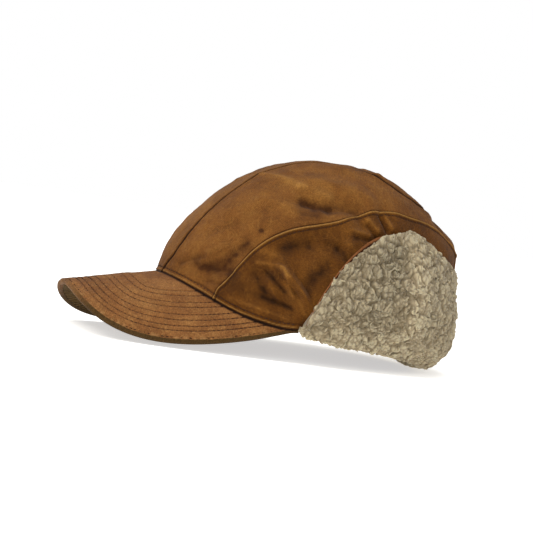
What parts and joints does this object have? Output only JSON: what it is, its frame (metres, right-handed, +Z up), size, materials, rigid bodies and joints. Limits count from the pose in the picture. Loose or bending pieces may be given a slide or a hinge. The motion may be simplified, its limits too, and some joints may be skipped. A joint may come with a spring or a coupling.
{
  "type": "peaked cap",
  "caption": "Soft five-panel cap with a bent, stitched peak and a fleece-faced ear and neck flap folded up round its back.",
  "frame": {"origin": "centre of the bounding box's foot, on the surface that the cap rests on", "axes": "+Z up, the peak towards -Y and the wearer's left towards +X; +Y runs from the peak to the back along the cap's length"},
  "size_m": [0.1814, 0.281, 0.136],
  "materials": {
    "canvas": "waxed cotton canvas, tan brown, matt with a dull wax bloom",
    "peak_canvas": "waxed cotton canvas over a stiff board, rows of stitching",
    "fleece": "curly sherpa pile, cream"
  },
  "bodies": {
    "root": {"centre_strip": "canvas", "upper_panel_left": "canvas", "upper_panel_right": "canvas", "lower_panel_left": "canvas", "lower_panel_right": "canvas", "peak_top": "peak_canvas", "peak_under": "peak_canvas", "flap_cloth": "canvas", "flap_fleece": "fleece"}
  },
  "joints": []
}
